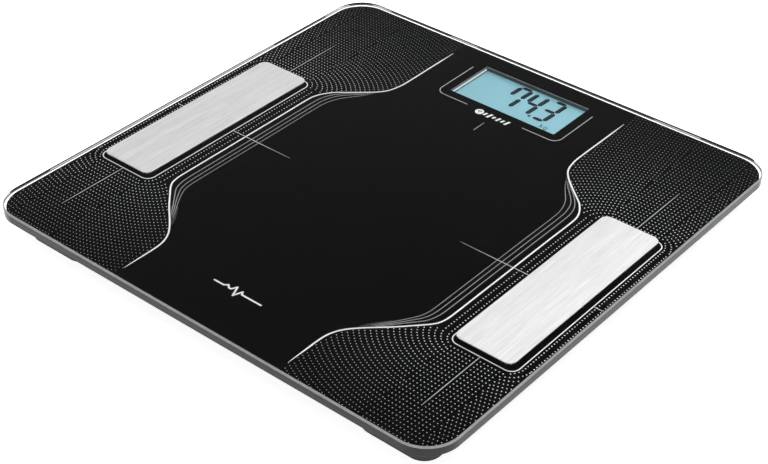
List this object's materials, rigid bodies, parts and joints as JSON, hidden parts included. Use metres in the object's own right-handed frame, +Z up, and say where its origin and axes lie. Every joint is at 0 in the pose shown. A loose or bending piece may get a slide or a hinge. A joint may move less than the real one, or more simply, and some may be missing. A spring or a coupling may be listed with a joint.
{
  "type": "bathroom scale",
  "caption": "Square glass bathroom scale on corner load-cell feet, with brushed-steel electrode plates and a backlit segment display under the glass.",
  "frame": {"origin": "on the floor, under the middle of the square platform", "axes": "+X to the user's right, +Y from the user towards the display, +Z up out of the floor"},
  "size_m": [0.312, 0.312, 0.0236],
  "materials": {
    "tempered_glass": "polished clear float glass with ground and polished edges",
    "black_print": "opaque black ceramic-ink print, seen glossy through the glass",
    "electrode_steel": "stainless sheet brushed lengthways",
    "mounting_adhesive": "acrylic foam tape",
    "clear_adhesive": "thin acrylic adhesive film",
    "black_abs": "moulded ABS with a fine spark-eroded grain",
    "foot_rubber": "moulded elastomer, slightly chalky",
    "spring_steel": "blanked spring steel",
    "zinc_steel": "bright zinc plating",
    "nickel_contact": "nickel plating",
    "natural_nylon": "natural nylon",
    "white_abs": "white light-reflecting ABS",
    "lcd_glass": "liquid-crystal cell glass",
    "polariser_film": "polariser lit pale blue from behind",
    "light_guide_acrylic": "clear acrylic with a frosted back",
    "silicone_strip": "silicone with conductive layers",
    "board_laminate": "glass-epoxy laminate with green solder mask",
    "chip_epoxy": "moulded epoxy",
    "led_body": "white LED package",
    "switch_plastic": "black nylon",
    "battery_wrap": "printed shrink film",
    "cable_jacket": "grey PVC",
    "wire_jacket": "red PVC",
    "gauge_foil": "polyimide foil gauge"
  },
  "bodies": {
    "platform": {"glass_platform": "tempered_glass", "printed_film": "black_print", "electrode_plate_left": "electrode_steel", "electrode_plate_right": "electrode_steel", "electrode_adhesive": "clear_adhesive", "electrode_studs": "zinc_steel", "stud_bushes": "natural_nylon", "ring_terminals": "nickel_contact", "electrode_nuts": "zinc_steel", "stud_covers": "black_abs", "foot_housing_rear_right": "black_abs", "load_cell_rear_right": "spring_steel", "foot_housing_rear_left": "black_abs", "load_cell_rear_left": "spring_steel", "foot_housing_front_left": "black_abs", "load_cell_front_left": "spring_steel", "foot_housing_front_right": "black_abs", "load_cell_front_right": "spring_steel", "foot_tapes": "mounting_adhesive", "strain_gauges": "gauge_foil", "module_tape": "mounting_adhesive", "module_frame": "black_abs", "module_cover": "black_abs", "batteries": "battery_wrap", "battery_contacts": "nickel_contact", "battery_springs": "nickel_contact", "cover_screws": "zinc_steel", "lcd_bezel": "white_abs", "lcd_cell": "lcd_glass", "lcd_polariser": "polariser_film", "light_guide": "light_guide_acrylic", "zebra_strip": "silicone_strip", "backlight_leds": "led_body", "main_board": "board_laminate", "board_screws": "zinc_steel", "controller_chip": "chip_epoxy", "radio_module": "nickel_contact", "unit_switch": "switch_plastic", "load_cell_cable_rear_right": "cable_jacket", "load_cell_cable_rear_left": "cable_jacket", "load_cell_cable_front_left": "cable_jacket", "load_cell_cable_front_right": "cable_jacket", "electrode_wire_left": "wire_jacket", "electrode_wire_right": "wire_jacket", "cable_clips": "natural_nylon"},
    "foot_front_left": {"foot_cap_front_left": "black_abs", "foot_pad_front_left": "foot_rubber"},
    "foot_front_right": {"foot_cap_front_right": "black_abs", "foot_pad_front_right": "foot_rubber"},
    "foot_rear_left": {"foot_cap_rear_left": "black_abs", "foot_pad_rear_left": "foot_rubber"},
    "foot_rear_right": {"foot_cap_rear_right": "black_abs", "foot_pad_rear_right": "foot_rubber"},
    "battery_door": {"battery_door": "black_abs"},
    "unit_button": {"unit_button": "black_abs", "switch_plunger": "switch_plastic"}
  },
  "joints": [
    {"name": "foot_front_left_press", "type": "slide", "parent": "platform", "child": "foot_front_left", "axis": [0, 0, 1], "range_m": [0, 0.0005], "stiffness_N_per_m": 12000, "springref_m": -0.001, "deforming": ["load_cell_front_left"]},
    {"name": "foot_front_right_press", "type": "slide", "parent": "platform", "child": "foot_front_right", "axis": [0, 0, 1], "range_m": [0, 0.0005], "stiffness_N_per_m": 12000, "springref_m": -0.001, "deforming": ["load_cell_front_right"]},
    {"name": "foot_rear_left_press", "type": "slide", "parent": "platform", "child": "foot_rear_left", "axis": [0, 0, 1], "range_m": [0, 0.0005], "stiffness_N_per_m": 12000, "springref_m": -0.001, "deforming": ["load_cell_rear_left"]},
    {"name": "foot_rear_right_press", "type": "slide", "parent": "platform", "child": "foot_rear_right", "axis": [0, 0, 1], "range_m": [0, 0.0005], "stiffness_N_per_m": 12000, "springref_m": -0.001, "deforming": ["load_cell_rear_right"]},
    {"name": "battery_door_hinge", "type": "hinge", "parent": "platform", "child": "battery_door", "pos_m": [0, 0.0629, 0.0043], "axis": [-1, 0, 0], "range_deg": [0, 90]},
    {"name": "unit_button_press", "type": "slide", "parent": "platform", "child": "unit_button", "axis": [0, 0, 1], "range_m": [0, 0.0005], "stiffness_N_per_m": 2500, "springref_m": -0.0002}
  ]
}
